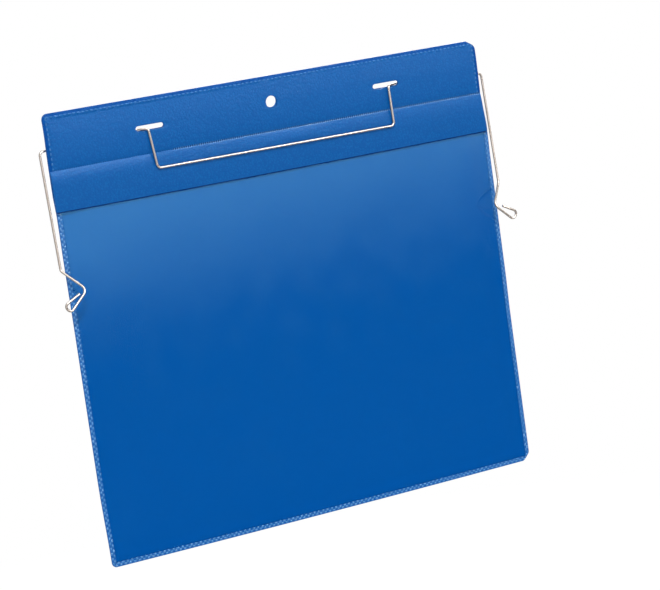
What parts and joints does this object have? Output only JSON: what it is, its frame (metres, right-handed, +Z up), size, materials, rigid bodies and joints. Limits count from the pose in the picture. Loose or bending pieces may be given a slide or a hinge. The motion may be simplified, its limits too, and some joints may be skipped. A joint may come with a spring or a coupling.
{
  "type": "hanging document pocket",
  "caption": "Flat plastic document pocket with a clear welded window, a folding rain flap over its mouth and a swinging bent-wire hanger that ends in hooks.",
  "frame": {"origin": "centre of the hang hole, at the back sheet's front face", "axes": "+X to the right, +Y to the back, +Z up; the window and the flap face -Y"},
  "size_m": [0.3282, 0.0156, 0.28],
  "materials": {
    "sheet": "fine grained blue sheet with a satin sheen",
    "film": "clear glossy film, knurled in the welds",
    "wire": "bright drawn steel wire"
  },
  "bodies": {
    "pocket": {"back_sheet": "sheet", "window_film": "film", "left_film_edge": "film", "right_film_edge": "film", "bottom_film_edge": "film", "header_facing": "sheet"},
    "flap": {"rain_flap": "sheet"},
    "hanger": {"wire_hanger": "wire"}
  },
  "joints": [
    {"name": "hanger_swing", "type": "hinge", "parent": "pocket", "child": "hanger", "pos_m": [0, 0.00155, -0.0061], "axis": [-1, 0, 0], "range_deg": [0, 95]},
    {"name": "flap_lift", "type": "hinge", "parent": "pocket", "child": "flap", "pos_m": [0, -0.001, -0.0187], "axis": [-1, 0, 0], "range_deg": [0, 120]}
  ],
  "couplings": [
    {"joint": "flap_lift", "follows": "hanger_swing", "ratio": 1.26}
  ]
}
